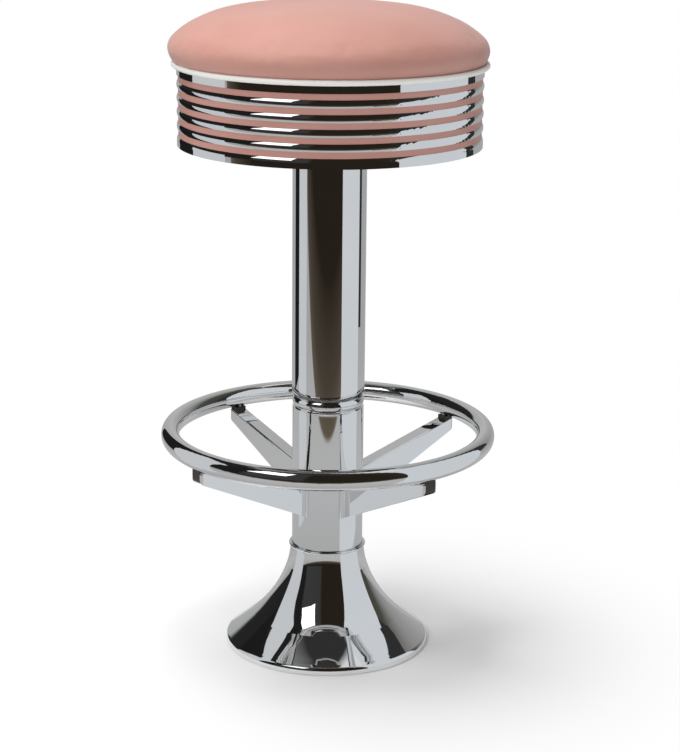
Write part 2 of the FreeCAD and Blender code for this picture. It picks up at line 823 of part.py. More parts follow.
def rib_face(z0, z1, flat_from, flat_to):
    """One rib's section on the band's wall: upright between the flat heights, rounded back beyond them."""
    proud_r = rib_edge_r + rib_bulge
    edges = []

    def line(start, end):
        if (end - start).Length > same_place:
            edges.append(Part.LineSegment(start, end).toShape())

    def shoulder(z_flat, z_edge):
        """The curve from the upright face at one height back to the rib's edge at another."""
        rise = abs(z_edge - z_flat)
        if rise < same_place:
            return proud_r
        r = (rise ** 2 + rib_bulge ** 2) / (2 * rib_bulge)
        middle = math.asin(rise / r) / 2
        sense = 1 if z_edge > z_flat else -1
        middle_point = at(proud_r - r * (1 - math.cos(middle)), z_flat + sense * r * math.sin(middle))
        edges.append(Part.Arc(at(proud_r, z_flat), middle_point, at(rib_edge_r, z_edge)).toShape())
        return rib_edge_r

    foot_r = shoulder(flat_from, z0)
    top_r = shoulder(flat_to, z1)
    line(at(proud_r, flat_from), at(proud_r, flat_to))
    line(at(top_r, z1), at(band_inner_r, z1))
    line(at(band_inner_r, z1), at(band_inner_r, z0))
    line(at(band_inner_r, z0), at(foot_r, z0))
    return closed_face(edges)


def seam_slot():
    """The slit at the back where the ends of the band and of its inlays meet."""
    half = band_seam / 2
    foot, top = band_z - slot_reach, drum_top_z + slot_reach
    return box(-half, half, band_inner_r - slot_reach, band_outer_r + slot_reach, foot, top)


def trim_band():
    levels = [drum_top_z]
    for n in range(groove_count):
        levels += [groove_centre(n) + groove_h / 2, groove_centre(n) - groove_h / 2]
    levels.append(band_z)
    band = tube(band_inner_r, groove_r, band_z, drum_top_z)
    for n in range(groove_count + 1):
        foot, top = levels[2 * n + 1], levels[2 * n]
        middle = (foot + top) / 2
        flat_from, flat_to = middle, middle
        if n == 0:
            flat_from, flat_to = foot, top
        if n == groove_count:
            flat_from, flat_to = foot, foot + foot_rib_flat_h
        band = band.fuse(spun(rib_face(foot, top, flat_from, flat_to)))
    band = band.removeSplitter()
    for n in range(groove_count + 1):
        foot, top = levels[2 * n + 1] + rib_wall, levels[2 * n] - rib_wall
        band = band.cut(tube(band_inner_r, rib_edge_r - rib_wall, foot, top))
    band = band.cut(seam_slot())
    for z in band_screw_levels():
        for hole in around(band_screw_hole(z), band_screw_count, band_screw_first()).Solids:
            band = band.cut(hole)
    return band


def inlay(n):
    z = groove_centre(n)
    half = groove_h / 2 - inlay_gap
    strip = tube(groove_r, groove_r + inlay_t, z - half, z + half)
    return strip.cut(seam_slot())


def cushion_crown():
    """The crown's arc radius and the height of its middle, which follow from the edge of the cushion."""
    crown = math.radians(crown_angle)
    shoulder = math.radians(shoulder_angle)
    edge = math.radians(edge_angle)
    edge_reach = edge_arc_r * (1 - math.sin(shoulder))
    shoulder_reach = shoulder_arc_r * (math.sin(shoulder) - math.sin(crown))
    arc_r = (cushion_r - edge_reach - shoulder_reach) / math.sin(crown)
    edge_rise = edge_arc_r * (math.cos(shoulder) - math.cos(edge))
    shoulder_rise = shoulder_arc_r * (math.cos(crown) - math.cos(shoulder))
    crown_rise = arc_r * (1 - math.cos(crown))
    return arc_r, piping_z + cushion_foot_rise + edge_rise + shoulder_rise + crown_rise


def cushion_outline():
    """The half section of the cushion, from the middle of the crown over the edge to the foot."""
    arc_r, top_z = cushion_crown()
    top = at(0, top_z)
    steps = [(arc_r, crown_angle), (shoulder_arc_r, shoulder_angle), (edge_arc_r, edge_angle)]
    edges, foot = bends(top, 0, steps)
    tuck = at(piping_circle_r - tuck_r * math.sqrt(0.5), piping_z + tuck_r * math.sqrt(0.5))
    return edges + [
        Part.Arc(foot, tuck, at(cover_foot_r, cover_foot_z)).toShape(),
        Part.LineSegment(at(cover_foot_r, cover_foot_z), at(-slot_reach, cover_foot_z)).toShape(),
        Part.LineSegment(at(-slot_reach, cover_foot_z), at(-slot_reach, top_z)).toShape(),
        Part.LineSegment(at(-slot_reach, top_z), top).toShape(),
    ]


def cushion_solid(inset):
    """The cushion's whole form, drawn in by the inset on every side."""
    face = closed_face(cushion_outline())
    if inset > 0:
        face = face.makeOffset2D(-inset)
    reach = 2 * cushion_r
    sky = 2 * cushion_crown()[1]
    half_plane = polygon_face([at(0, 0), at(reach, 0), at(reach, sky), at(0, sky)])
    return spun(face.common(half_plane).Faces[0])


def seat_cover():
    skin = cushion_solid(0).cut(cushion_solid(cover_t))
    opening = cylinder(cover_hem_r, cover_foot_z - lap, cover_foot_z + 2 * cover_t)
    return skin.cut(opening).cut(around(staple(thread_gap), staple_count))


def pad_board():
    board = cylinder(pad_board_r, pad_board_z, pad_board_z + pad_board_t)
    hole_top = pad_board_z + cushion_screw_bite + lap
    hole = cylinder(cushion_screw_r + thread_gap, pad_board_z, hole_top, cushion_screw_circle_r)
    board = board.cut(around(hole, cushion_screw_count, cushion_screw_first_angle))
    return board.cut(around(staple(thread_gap), staple_count))


def foam_pad():
    foam = cushion_solid(cover_t + soft_gap)
    room = cylinder(pad_board_r + soft_gap, 0, pad_board_z + pad_board_t)
    return foam.cut(room)


def cushion_screw():
    x = cushion_screw_circle_r
    head = cylinder(cushion_screw_head_r, drum_board_z - cushion_screw_head_h, drum_board_z, x)
    shank = cylinder(cushion_screw_r, drum_board_z, pad_board_z + cushion_screw_bite, x)
    return head.fuse(shank).removeSplitter()


def staple(grow=0.0):
    """A staple driven up through the cover's hem into the cushion board."""
    half = staple_crown / 2 + grow
    wire = staple_wire / 2 + grow
    x = staple_circle_r
    crown_top = cover_foot_z + grow
    crown = box(x - wire, x + wire, -half, half, cover_foot_z - staple_wire - grow, crown_top)
    leg_top = cover_foot_z + staple_leg + grow
    left = box(x - wire, x + wire, -half, -half + 2 * wire, crown_top - wire, leg_top)
    right = box(x - wire, x + wire, half - 2 * wire, half, crown_top - wire, leg_top)
    return crown.fuse(left).fuse(right)


def piping():
    """A round bead over the band's top edge, with a flat tail clamped under the cushion."""
    bead = round_torus(piping_circle_r, piping_z, piping_r)
    tail = tube(piping_tail_r, piping_circle_r, drum_top_z, tail_top_z)
    return bead.fuse(tail).removeSplitter()


def main():
    os.makedirs("parts", exist_ok=True)
    save("floor_plate", floor_plate())
    save("base_cover", bell_cover())
    save("lower_column", lower_column())
    save("joint_collar", joint_collar())
    save("upper_column", upper_column())
    save("tie_rod", tie_rod())
    save("tie_rod_washer", rod_washer())
    save("tie_rod_nut", rod_nut())
    save("bearing_housing", bearing_housing())
    save("housing_retaining_ring", housing_clip())
    bearings = (
        ("upper_bearing", upper_bearing_r, upper_bearing_w, upper_ball_r, upper_ball_count, upper_bearing_z),
        ("lower_bearing", lower_bearing_r, lower_bearing_w, lower_ball_r, lower_ball_count, lower_bearing_z),
    )
    for name, r, width, ball_r, count, z in bearings:
        save(name + "_outer_race", outer_race(r, width, ball_r, z))
        save(name + "_inner_race", inner_race(r, width, ball_r, z))
        save(name + "_balls", balls(r, width, ball_r, count, z))
        save(name + "_cage", cage(r, width, ball_r, count, z))

    save("foot_ring", foot_ring())
    one_arm = arm()
    for n in range(arm_count):
        save("ring_arm_%d" % (n + 1), turned(one_arm, arm_first_angle + 360.0 * n / arm_count))
    levels = (arm_screw_low_z, arm_screw_low_z + arm_screw_pitch)
    screws = Part.makeCompound([arm_screw(z) for z in levels])
    save("arm_screws", around(screws, arm_count, arm_first_angle))
    save("arm_end_caps", around(end_cap(), arm_count, arm_first_angle))
    save("ring_screws", around(ring_screw(), arm_count, arm_first_angle))

    save("spindle", spindle())
    save("spindle_retaining_ring", shaft_clip())
    save("race_spacer", race_spacer())
    save("seat_plate", seat_plate())
    save("flange_screws", around(flange_screw(), flange_screw_count))
    save("seat_bolts", around(seat_bolt(), seat_bolt_count, seat_bolt_first_angle))
    save("tee_nuts", around(tee_nut(), seat_bolt_count, seat_bolt_first_angle))
    save("base_board", base_board())
    save("spacer_blocks", around(spacer_block(), block_count))
    save("drum_board", drum_board())
    save("trim_band", trim_band())
    for n in range(groove_count):
        save("band_inlay_%d" % (n + 1), inlay(n))
    screws = Part.makeCompound([band_screw(z) for z in band_screw_levels()])
    save("band_screws", around(screws, band_screw_count, band_screw_first()))
    save("piping", piping())
    save("cushion_board", pad_board())
    save("cushion_screws", around(cushion_screw(), cushion_screw_count, cushion_screw_first_angle))
    save("cover_staples", around(staple(), staple_count))
    save("foam_pad", foam_pad())
    save("seat_cover", seat_cover())


main()
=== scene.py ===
import json
import math

import bmesh
import bpy
from mathutils import Matrix, Vector, noise


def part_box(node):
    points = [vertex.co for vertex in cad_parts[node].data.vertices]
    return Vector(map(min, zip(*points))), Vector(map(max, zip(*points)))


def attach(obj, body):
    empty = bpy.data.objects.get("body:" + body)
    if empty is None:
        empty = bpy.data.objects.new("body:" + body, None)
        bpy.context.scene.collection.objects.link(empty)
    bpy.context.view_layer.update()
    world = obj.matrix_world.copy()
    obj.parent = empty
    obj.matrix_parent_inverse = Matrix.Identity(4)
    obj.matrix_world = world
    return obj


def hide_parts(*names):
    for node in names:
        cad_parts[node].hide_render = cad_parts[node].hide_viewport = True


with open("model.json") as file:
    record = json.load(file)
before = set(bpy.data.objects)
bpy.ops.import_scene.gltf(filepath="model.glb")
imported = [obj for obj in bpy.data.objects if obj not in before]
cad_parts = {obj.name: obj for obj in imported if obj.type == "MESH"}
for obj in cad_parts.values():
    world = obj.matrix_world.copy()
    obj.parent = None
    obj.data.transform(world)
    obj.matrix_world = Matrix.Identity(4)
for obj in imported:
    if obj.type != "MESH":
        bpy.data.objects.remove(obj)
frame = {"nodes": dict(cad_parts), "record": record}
nodes = frame["nodes"]
scene = bpy.context.scene
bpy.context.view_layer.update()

# The studio and its camera are turned a little about the column, away from the
# stool's own axes.
studio_turn = math.radians(7.1)
studio = Matrix.Rotation(studio_turn, 4, "Z")
camera_place = Vector((0.00728, -2.4669, 1.0191))
camera_dip = 15.38
camera_tilt = math.radians(90 - camera_dip)
camera_heading = math.radians(-0.163)
camera_roll = math.radians(0.512)
camera_lens = 100.19
camera_sensor_w = 36.0
camera_reach = 200.0


def add_camera():
    data = bpy.data.cameras.new("camera")
    data.lens = camera_lens
    data.sensor_width = camera_sensor_w
    data.clip_end = camera_reach
    camera = bpy.data.objects.new("camera", data)
    scene.collection.objects.link(camera)
    turn = Matrix.Rotation(camera_heading, 4, "Z") @ Matrix.Rotation(camera_tilt, 4, "X")
    roll = Matrix.Rotation(camera_roll, 4, "Z")
    camera.matrix_world = studio @ Matrix.Translation(camera_place) @ turn @ roll
    scene.camera = camera


add_camera()


# Shader helpers. Most of a noise field lies between these two levels.

noise_low = 0.3
noise_high = 0.7


def tree(material):
    material.use_nodes = True
    graph = material.node_tree
    graph.nodes.clear()
    return graph


def add(graph, kind, **values):
    """A shader node, with its sockets set by name."""
    made = graph.nodes.new(kind)
    for name, value in values.items():
        made.inputs[name.replace("_", " ")].default_value = value
    return made


def ramp(graph, source, stops):
    """A colour ramp over the source, from pairs of place and colour."""
    made = graph.nodes.new("ShaderNodeValToRGB")
    elements = made.color_ramp.elements
    while len(elements) < len(stops):
        elements.new(0.5)
    for element, (place, colour) in zip(elements, stops):
        element.position = place
        element.color = (*colour, 1.0)
    graph.links.new(source, made.inputs["Fac"])
    return made.outputs["Color"]


def grey(level):
    return (level, level, level)


def darker(colour, share):
    return tuple(share * c for c in colour)


def spread(graph, source, low, high, new_low=0.0, new_high=1.0, smooth=False):
    """The source between low and high, mapped to a new range and held at its ends."""
    made = graph.nodes.new("ShaderNodeMapRange")
    if smooth:
        made.interpolation_type = "SMOOTHSTEP"
    limits = (("From Min", low), ("From Max", high), ("To Min", new_low), ("To Max", new_high))
    for name, value in limits:
        made.inputs[name].default_value = value
    graph.links.new(source, made.inputs["Value"])
    return made.outputs["Result"]


def compute(graph, operation, *inputs):
    made = graph.nodes.new("ShaderNodeMath")
    made.operation = operation
    for socket, value in zip(made.inputs, inputs):
        if isinstance(value, (int, float)):
            socket.default_value = value
        else:
            graph.links.new(value, socket)
    return made.outputs[0]


def mix(graph, share, first, second):
    """A colour between first and second."""
    made = graph.nodes.new("ShaderNodeMix")
    made.data_type = "RGBA"
    graph.links.new(share, made.inputs["Factor"])
    for socket, value in ((made.inputs["A"], first), (made.inputs["B"], second)):
        if isinstance(value, tuple):
            socket.default_value = (*value, 1.0)
        else:
            graph.links.new(value, socket)
    return made.outputs["Result"]


def object_place(graph):
    return graph.nodes.new("ShaderNodeTexCoord").outputs["Object"]


def split_axes(graph, source):
    made = graph.nodes.new("ShaderNodeSeparateXYZ")
    graph.links.new(source, made.inputs[0])
    return made.outputs


def noise_field(graph, scale, detail=3.0, distortion=0.0, stretch=None):
    """Noise over the object's own coordinates, optionally stretched along an axis."""
    place = object_place(graph)
    if stretch:
        mapping = add(graph, "ShaderNodeMapping", Scale=stretch)
        graph.links.new(place, mapping.inputs["Vector"])
        place = mapping.outputs["Vector"]
    made = add(graph, "ShaderNodeTexNoise", Scale=scale, Detail=detail, Roughness=0.55, Distortion=distortion)
    graph.links.new(place, made.inputs["Vector"])
    return made.outputs["Fac"]


def cell_field(graph, scale, smoothness=0.4):
    """The distance field of small rounded cells, as in embossed grain."""
    made = graph.nodes.new("ShaderNodeTexVoronoi")
    made.feature = "SMOOTH_F1"
    made.inputs["Scale"].default_value = scale
    made.inputs["Smoothness"].default_value = smoothness
    graph.links.new(object_place(graph), made.inputs["Vector"])
    return made.outputs["Distance"]


def surface(name, **values):
    """A new material: its graph and its Principled shader, wired to the output."""
    material = bpy.data.materials.new(name)
    graph = tree(material)
    shader = add(graph, "ShaderNodeBsdfPrincipled", **values)
    output = graph.nodes.new("ShaderNodeOutputMaterial")
    graph.links.new(shader.outputs[0], output.inputs["Surface"])
    return material, graph, shader


def tint(graph, shader, field, dark, light):
    """Colour the surface from dark to light over a noise field."""
    colour = ramp(graph, field, [(noise_low, dark), (noise_high, light)])
    graph.links.new(colour, shader.inputs["Base Color"])


def roughen(graph, shader, field, low, high, field_low=noise_low):
    """Roughness from low to high over a noise field."""
    rough = spread(graph, field, field_low, noise_high, low, high)
    graph.links.new(rough, shader.inputs["Roughness"])


def bump(graph, shader, height, strength, distance):
    made = add(graph, "ShaderNodeBump", Strength=strength, Distance=distance)
    graph.links.new(height, made.inputs["Height"])
    graph.links.new(made.outputs["Normal"], shader.inputs["Normal"])


# Materials, one function for each kind of surface

ply_thickness = 0.003


def chrome_plate():
    """Mirror plating with a faint haze that comes and goes."""
    material, graph, shader = surface("chrome_plate", Metallic=1.0)
    tint(graph, shader, noise_field(graph, scale=7.0), (0.83, 0.84, 0.85), grey(0.88))
    haze = noise_field(graph, scale=22.0, detail=5.0)
    roughen(graph, shader, haze, 0.015, 0.05, field_low=0.35)
    bump(graph, shader, noise_field(graph, scale=3.5, detail=1.0), strength=0.04, distance=0.004)
    return material


def machined_steel():
    """Zinc-plated or turned steel with fine scratches."""
    material, graph, shader = surface("machined_steel", Metallic=1.0)
    lines = noise_field(graph, scale=60.0, detail=6.0, stretch=(1.0, 1.0, 14.0))
    tint(graph, shader, lines, (0.42, 0.43, 0.44), (0.58, 0.58, 0.57))
    roughen(graph, shader, lines, 0.28, 0.42)
    bump(graph, shader, lines, strength=0.15, distance=0.0002)
    return material


def housing_iron():
    """A black coated casting."""
    material, graph, shader = surface("housing_iron", Metallic=0.6)
    skin = noise_field(graph, scale=180.0, detail=5.0)
    tint(graph, shader, skin, grey(0.035), grey(0.07))
    roughen(graph, shader, skin, 0.45, 0.65)
    bump(graph, shader, skin, strength=0.4, distance=0.0006)
    return material


def cage_brass():
    """Turned brass."""
    material, graph, shader = surface("cage_brass", Metallic=1.0)
    turned = noise_field(graph, scale=90.0, detail=4.0, stretch=(1.0, 1.0, 9.0))
    tint(graph, shader, turned, (0.60, 0.40, 0.14), (0.76, 0.55, 0.24))
    roughen(graph, shader, turned, 0.25, 0.4)
    return material


def cap_plastic():
    """Moulded plastic, very dark brown, with a fine spark texture."""
    material, graph, shader = surface("cap_plastic", IOR=1.5)
    grain = noise_field(graph, scale=900.0)
    tint(graph, shader, noise_field(graph, scale=60.0), (0.020, 0.012, 0.008), (0.036, 0.021, 0.014))
    roughen(graph, shader, grain, 0.36, 0.5)
    bump(graph, shader, grain, strength=0.25, distance=0.0002)
    return material


def plywood(name, dark, light, glue):
    """Layered wood: thin plies seen on the edges, long grain on the faces."""
    material, graph, shader = surface(name, IOR=1.45)
    grain = noise_field(graph, scale=18.0, detail=6.0, distortion=0.6, stretch=(1.0, 9.0, 1.0))
    face = ramp(graph, grain, [(noise_low, dark), (noise_high, light)])
    height = split_axes(graph, object_place(graph))["Z"]
    ply = compute(graph, "SINE", compute(graph, "MULTIPLY", height, 2 * math.pi / ply_thickness))
    share = spread(graph, ply, -0.6, 0.6, 0.0, 0.35)
    graph.links.new(mix(graph, share, face, glue), shader.inputs["Base Color"])
    roughen(graph, shader, grain, 0.55, 0.7)
    bump(graph, shader, grain, strength=0.2, distance=0.0004)
    return material


def vinyl(name, dark, light, rough, grain_scale, grain_depth, sheen=0.0):
    """Upholstery vinyl: fine embossed grain, slow changes of colour and of gloss."""
    material, graph, shader = surface(name, IOR=1.5, Sheen_Weight=sheen, Sheen_Roughness=0.45)
    tone = noise_field(graph, scale=5.0, detail=4.0, distortion=0.3)
    fine = noise_field(graph, scale=420.0, detail=2.0)
    cloud = ramp(graph, tone, [(0.32, dark), (0.68, light)])
    share = spread(graph, fine, 0.35, 0.65, 0.0, 0.12)
    graph.links.new(mix(graph, share, cloud, darker(dark, 0.8)), shader.inputs["Base Color"])
    roughen(graph, shader, tone, *rough)
    grain = compute(graph, "ADD", cell_field(graph, grain_scale), compute(graph, "MULTIPLY", fine, 0.3))
    bump(graph, shader, grain, strength=0.35, distance=grain_depth)
    return material


def seat_foam():
    """Open-cell foam with fine pores."""
    material, graph, shader = surface("seat_foam", Roughness=0.9)
    pores = cell_field(graph, scale=700.0, smoothness=0.2)
    colour = ramp(graph, pores, [(0.1, (0.55, 0.47, 0.25)), (0.6, (0.78, 0.70, 0.45))])
    graph.links.new(colour, shader.inputs["Base Color"])
    bump(graph, shader, pores, strength=0.6, distance=0.0008)
    return material


pink_dark = (0.475, 0.225, 0.182)
pink_light = (0.545, 0.280, 0.235)
white_dark = (0.76, 0.75, 0.71)
white_light = (0.84, 0.83, 0.80)
inlay_rough = (0.30, 0.42)
piping_rough = (0.35, 0.5)
cover_rough = (0.38, 0.46)
materials = {
    "polished_metal": chrome_plate(),
    "machined_steel": machined_steel(),
    "housing_iron": housing_iron(),
    "cage_brass": cage_brass(),
    "cap_plastic": cap_plastic(),
    "plywood": plywood("plywood", (0.47, 0.30, 0.16), (0.66, 0.47, 0.28), (0.33, 0.19, 0.09)),
    "pink_inlay": vinyl("pink_inlay", pink_dark, pink_light, inlay_rough, 900.0, 0.0001),
    "white_piping": vinyl("white_piping", white_dark, white_light, piping_rough, 700.0, 0.0001),
    "seat_foam": seat_foam(),
    "pink_vinyl": vinyl("pink_vinyl", pink_dark, pink_light, cover_rough, 620.0, 0.00012, sheen=0.15),
}
stained_board = plywood("stained_board", (0.030, 0.022, 0.017), (0.055, 0.042, 0.033), (0.02, 0.014, 0.01))
slot_of = {part["node"]: part["material_slot"] for part in frame["record"]["subparts"]}


def dress_nodes():
    for name, node in nodes.items():
        node.data.materials.clear()
        node.data.materials.append(stained_board if name == "base_board" else materials[slot_of[name]])


dress_nodes()


# Soft pieces of the seat. The cushion is a bag of vinyl over foam, let settle under a
# little pressure, and the welt is a covered cord with a slight wander.

cover_low, cover_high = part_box("seat_cover")
welt_low, welt_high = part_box("piping")
cover_r = (cover_high[0] - cover_low[0]) / 2
crown_angle = math.radians(4.39)
crown_steps = 12
shoulder_arc_r = 0.1675
shoulder_angle = math.radians(36.4)
shoulder_steps = 20
edge_arc_r = 0.0199
edge_angle = math.radians(132.5)
edge_steps = 14
tuck_gap = 0.00045
cushion_sides = 144
cushion_cell = 0.0045
on_axis = 1e-6

# The cushion's settling as cloth, and how far any point of it may move
settle_frames = 16
settle_pressure = 6.0
settle_reach = 0.0035
cover_mass = 0.4
cover_stretch = 60
cover_shear = 20
cover_bend = 8

# The cushion sits a little to the left on the drum, and its top leans further
lean_foot = 0.0015
lean_top = 0.0046
lean_onset = 12.0
dimple_depth = 0.00022
dimple_scale = 38.0
smooth_share = 0.5
smooth_rounds = 3

# The welt: its cord, its wander round the drum and its flat tail
welt_r = 0.0033
welt_circle_r = (welt_high[0] - welt_low[0]) / 2 - welt_r
welt_z = welt_high[2] - welt_r
drum_top_z = welt_low[2]
wander_depth = 0.0002
wander_scale = 3.0
ripple_share = 0.03
ripple_scale = 24.0
tail_t = 0.0014
tail_w = 0.0142
tail_start = 0.6
tail_gap = 0.0001
around_cord = 20
around_drum = 360


def upright(height):
    return Vector((0.0, 0.0, height))


def around(count):
    """Level headings, evenly spread round the column's axis."""
    turns = [2 * math.pi * n / count for n in range(count)]
    return [Vector((math.cos(turn), math.sin(turn), 0.0)) for turn in turns]


def piece_from(name, shape):
    """A new piece of the scene from a finished shape."""
    mesh = bpy.data.meshes.new(name)
    shape.to_mesh(mesh)
    shape.free()
    piece = bpy.data.objects.new(name, mesh)
    scene.collection.objects.link(piece)
    return piece


def shade_smooth(piece):
    for face in piece.data.polygons:
        face.use_smooth = True


def arc_run(start, first, last, r, steps):
    """Points on an arc, from one heading below the level to the next."""
    points = []
    for n in range(1, steps + 1):
        turn = first + (last - first) * n / steps
        reach = start[0] + r * (math.sin(turn) - math.sin(first))
        points.append((reach, start[1] + r * (math.cos(turn) - math.cos(first))))
    return points


def cushion_profile():
    """Half section of the cushion: crown, shoulder, edge and the tuck beside the welt."""
    edge_reach = edge_arc_r * (1 - math.sin(shoulder_angle))
    shoulder_reach = shoulder_arc_r * (math.sin(shoulder_angle) - math.sin(crown_angle))
    crown_arc_r = (cover_r - edge_reach - shoulder_reach) / math.sin(crown_angle)
    points = [(0.0, cover_high[2])]
    points += arc_run(points[-1], 0.0, crown_angle, crown_arc_r, crown_steps)
    points += arc_run(points[-1], crown_angle, shoulder_angle, shoulder_arc_r, shoulder_steps)
    points += arc_run(points[-1], shoulder_angle, edge_angle, edge_arc_r, edge_steps)
    tuck_r = welt_r + tuck_gap
    points.append((welt_circle_r - tuck_r * math.sqrt(0.5), welt_z + tuck_r * math.sqrt(0.5)))
    points.append((welt_circle_r - tuck_r, cover_low[2]))
    points.append((0.0, cover_low[2]))
    return points


def lathe(name, profile, count):
    """A closed form turned from points of reach and height, whose ends lie on the axis."""
    shape = bmesh.new()
    rows = []
    for reach, height in profile:
        if reach < on_axis:
            rows.append([shape.verts.new((0.0, 0.0, height))])
            continue
        row = []
        for n in range(count):
            turn = 2 * math.pi * n / count
            row.append(shape.verts.new((reach * math.cos(turn), reach * math.sin(turn), height)))
        rows.append(row)
    for upper, lower in zip(rows, rows[1:]):
        for n in range(count):
            above = [upper[n % len(upper)], upper[(n + 1) % len(upper)]]
            below = [lower[(n + 1) % len(lower)], lower[n % len(lower)]]
            shape.faces.new(list(dict.fromkeys(above + below)))
    bmesh.ops.recalc_face_normals(shape, faces=shape.faces)
    return piece_from(name, shape)


def keep_modifiers(piece):
    """Make the result of a piece's modifiers its own mesh."""
    bpy.context.view_layer.update()
    evaluated = piece.evaluated_get(bpy.context.evaluated_depsgraph_get())
    mesh = bpy.data.meshes.new_from_object(evaluated)
    piece.modifiers.clear()
    piece.data = mesh


def settle(piece, pinned_below):
    """Blow the bag up a little as cloth, its foot held by the staples."""
    held = piece.vertex_groups.new(name="stapled")
    held.add([v.index for v in piece.data.vertices if v.co.z < pinned_below], 1.0, "REPLACE")
    cloth = piece.modifiers.new("cloth", "CLOTH")
    cloth.settings.vertex_group_mass = "stapled"
    cloth.settings.quality = 6
    cloth.settings.mass = cover_mass
    cloth.settings.tension_stiffness = cover_stretch
    cloth.settings.compression_stiffness = cover_stretch
    cloth.settings.shear_stiffness = cover_shear
    cloth.settings.bending_stiffness = cover_bend
    cloth.settings.use_pressure = True
    cloth.settings.uniform_pressure_force = settle_pressure
    cloth.settings.effector_weights.gravity = 0.0
    cloth.collision_settings.use_collision = False
    cloth.point_cache.frame_start = 1
    cloth.point_cache.frame_end = settle_frames
    for step in range(1, settle_frames + 1):
        scene.frame_set(step)
        bpy.context.view_layer.update()
    keep_modifiers(piece)
    scene.frame_set(1)


def shape_cushion(piece, calm):
    """Hold the settling within its reach, and give the cushion its lean and its dimples."""
    left = studio.to_3x3() @ Vector((-1.0, 0.0, 0.0))
    rise = cover_high[2] - welt_z
    for vertex, start in zip(piece.data.vertices, calm):
        move = vertex.co - start
        if move.length > settle_reach:
            move = move.normalized() * settle_reach
        share = min(max((start.z - welt_z) / rise, 0.0), 1.0)
        lean = left * (lean_foot + (lean_top - lean_foot) * share) * min(share * lean_onset, 1.0)
        swell = start - upright(welt_z)
        dimple = swell.normalized() * dimple_depth * noise.noise(start * dimple_scale)
        vertex.co = start + move + lean + dimple


def add_cushion():
    piece = lathe("cushion", cushion_profile(), cushion_sides)
    remesh = piece.modifiers.new("remesh", "REMESH")
    remesh.mode = "VOXEL"
    remesh.voxel_size = cushion_cell
    keep_modifiers(piece)
    calm = [v.co.copy() for v in piece.data.vertices]
    settle(piece, welt_z + welt_r)
    shape_cushion(piece, calm)
    smooth = piece.modifiers.new("smooth", "SMOOTH")
    smooth.factor = smooth_share
    smooth.iterations = smooth_rounds
    finer = piece.modifiers.new("finer", "SUBSURF")
    finer.levels = 1
    finer.render_levels = 1
    keep_modifiers(piece)
    shade_smooth(piece)
    piece.data.materials.append(materials["pink_vinyl"])
    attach(piece, "seat")
    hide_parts("seat_cover", "foam_pad")


def cord_rows(shape):
    """Rings of points round the welt's cord, one for each heading."""
    rows = []
    for out in around(around_drum):
        middle = out * (welt_circle_r + wander_depth * noise.noise(out * wander_scale)) + upright(welt_z)
        r = welt_r * (1.0 + ripple_share * noise.noise(out * ripple_scale))
        row = []
        for k in range(around_cord):
            lift = 2 * math.pi * k / around_cord
            place = middle + out * r * math.cos(lift) + upright(r * math.sin(lift))
            row.append(shape.verts.new(place))
        rows.append(row)
    return rows


def tail_rows(shape):
    """Corners of the welt's flat tail under the cushion, for each heading."""
    low = upright(drum_top_z + tail_gap)
    high = upright(drum_top_z + tail_t)
    rows = []
    for out in around(around_drum):
        near = out * (welt_circle_r - welt_r * tail_start)
        far = out * (welt_circle_r - tail_w)
        rows.append([shape.verts.new(p) for p in (near + low, far + low, far + high, near + high)])
    return rows


def add_welt():
    """The welt: a covered cord round the drum's top edge, with its flat tail under the cushion."""
    shape = bmesh.new()
    for rows in (cord_rows(shape), tail_rows(shape)):
        width = len(rows[0])
        for n in range(around_drum):
            here, there = rows[n], rows[(n + 1) % around_drum]
            for k in range(width):
                shape.faces.new([here[k], there[k], there[(k + 1) % width], here[(k + 1) % width]])
    bmesh.ops.recalc_face_normals(shape, faces=shape.faces)
    welt = piece_from("welt", shape)
    shade_smooth(welt)
    welt.data.materials.append(materials["white_piping"])
    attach(welt, "seat")
    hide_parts("piping")


add_cushion()
add_welt()


# The studio: floor, surround and lights. The chrome mirrors it, so it has the white
# sweep that ends in front of the stool, light and dark cards at its sides, a softbox
# in front on the left, and a dim room beyond.

# The dim room's brown, and its boards near the set painted lighter as if the studio's light reached them:
# painted light
room_brown = (0.020, 0.015, 0.010)
room_lit_near = (0.125, 0.100, 0.074)

# The floor, with distances from the column: where its paint fades into the surround,
# to the eye and in the chrome, and where the sweep ends and the dim boards with their painted light begin
floor_white = 0.90
floor_r = 60.0
floor_sides = 96
floor_drop = 0.0004
fade_near = 0.10
fade_far = 0.52
mirror_fade_near = 0.13
mirror_fade_far = 0.3
sweep_near = 0.2
sweep_far = 1.6
sweep_edge = -0.92
sweep_blur = 0.02
boards_far = -2.1

# The cards' corners in plan
left_front = (-0.534, -0.183)
left_joint = (-0.450, 0.101)
left_back = (-0.300, 0.203)
right_front = (0.218, -0.271)
right_joint = (0.450, 0.100)
right_back = (0.420, 0.190)
softbox_left = (-1.006, -0.654)
softbox_right = (-0.545, -1.069)

# What the chrome mirrors of the walls and of the roof: degrees about the column, from
# the camera's side toward the right, and the tone there
wall_tones = [
    (-180, grey(0.50)),
    (-150, grey(0.42)),
    (-146, grey(0.02)),
    (-62, grey(0.012)),
    (-57, grey(0.045)),
    (-17, grey(0.040)),
    (-13, room_brown),
    (40, room_brown),
    (60, grey(0.03)),
    (120, (0.07, 0.07, 0.055)),
    (138, grey(0.28)),
    (180, grey(0.50)),
]
roof_tones = [
    (-180, grey(0.40)),
    (-100, grey(0.22)),
    (-60, grey(0.03)),
    (60, grey(0.03)),
    (82, grey(0.75)),
    (125, grey(0.70)),
    (150, grey(0.40)),
]
roof_low = math.sin(math.radians(60))
roof_high = math.sin(math.radians(68))
surround_white = 1.0
surround_fill = 0.42

